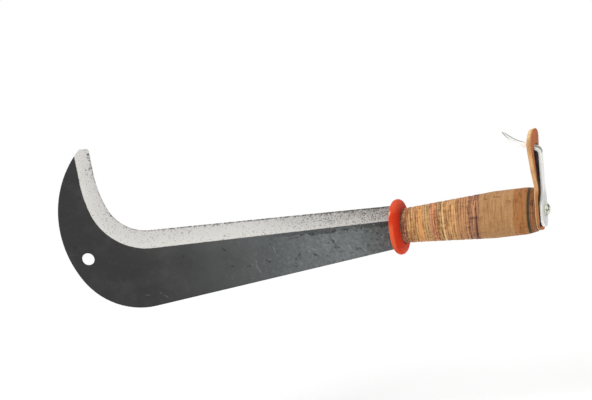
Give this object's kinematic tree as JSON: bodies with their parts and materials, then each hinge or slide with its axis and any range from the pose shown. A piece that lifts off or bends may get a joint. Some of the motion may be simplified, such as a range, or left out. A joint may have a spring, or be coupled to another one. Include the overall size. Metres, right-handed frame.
{
  "type": "billhook",
  "caption": "Hand billhook with a hooked forged blade ground on both faces, a red guard, a handle of stacked leather washers and a steel belt hook held by a leather tongue.",
  "frame": {"origin": "on the handle's axis, where the leather starts in the guard's seat", "axes": "+X along the handle towards the butt, +Y square to the blade's faces, +Z towards the cutting edge and the belt hook"},
  "size_m": [0.4025, 0.0452, 0.1388],
  "materials": {
    "forged_steel": "black forge scale, with a bright ground edge",
    "red_guard": "smooth moulded red",
    "tan_leather": "turned and smoothed edge of a leather washer",
    "fawn_leather": "turned and smoothed edge of a leather washer",
    "honey_leather": "turned and smoothed edge of a leather washer",
    "olive_leather": "turned and smoothed edge of a leather washer",
    "plum_leather": "turned and smoothed edge of a leather washer",
    "salmon_leather": "turned and smoothed edge of a leather washer",
    "straw_leather": "turned and smoothed edge of a leather washer",
    "brown_leather": "turned and smoothed edge of a leather washer",
    "umber_leather": "turned and smoothed edge of a leather washer",
    "pale_leather": "turned and smoothed edge of a leather washer",
    "orange_leather": "turned and smoothed edge of a leather washer",
    "black_leather": "turned and smoothed edge of a leather washer",
    "russet_leather": "turned and smoothed edge of a leather washer",
    "tongue_leather": "thick sole leather with a rounded edge",
    "bright_steel": "plated strip steel"
  },
  "bodies": {
    "root": {"blade": "forged_steel", "guard": "red_guard", "washer_01": "umber_leather", "washer_02": "plum_leather", "washer_03": "plum_leather", "washer_04": "tan_leather", "washer_05": "tan_leather", "washer_06": "tan_leather", "washer_07": "tan_leather", "washer_08": "tan_leather", "washer_09": "honey_leather", "washer_10": "honey_leather", "washer_11": "olive_leather", "washer_12": "olive_leather", "washer_13": "olive_leather", "washer_14": "plum_leather", "washer_15": "salmon_leather", "washer_16": "salmon_leather", "washer_17": "olive_leather", "washer_18": "olive_leather", "washer_19": "straw_leather", "washer_20": "tan_leather", "washer_21": "tan_leather", "washer_22": "tan_leather", "washer_23": "tan_leather", "washer_24": "tan_leather", "washer_25": "fawn_leather", "washer_26": "fawn_leather", "washer_27": "fawn_leather", "washer_28": "fawn_leather", "washer_29": "brown_leather", "washer_30": "umber_leather", "washer_31": "brown_leather", "washer_32": "umber_leather", "washer_33": "pale_leather", "washer_34": "pale_leather", "washer_35": "pale_leather", "washer_36": "pale_leather", "washer_37": "pale_leather", "washer_38": "pale_leather", "washer_39": "orange_leather", "washer_40": "orange_leather", "washer_41": "black_leather", "washer_42": "russet_leather", "tongue": "tongue_leather", "belt_hook": "bright_steel"}
  },
  "joints": []
}
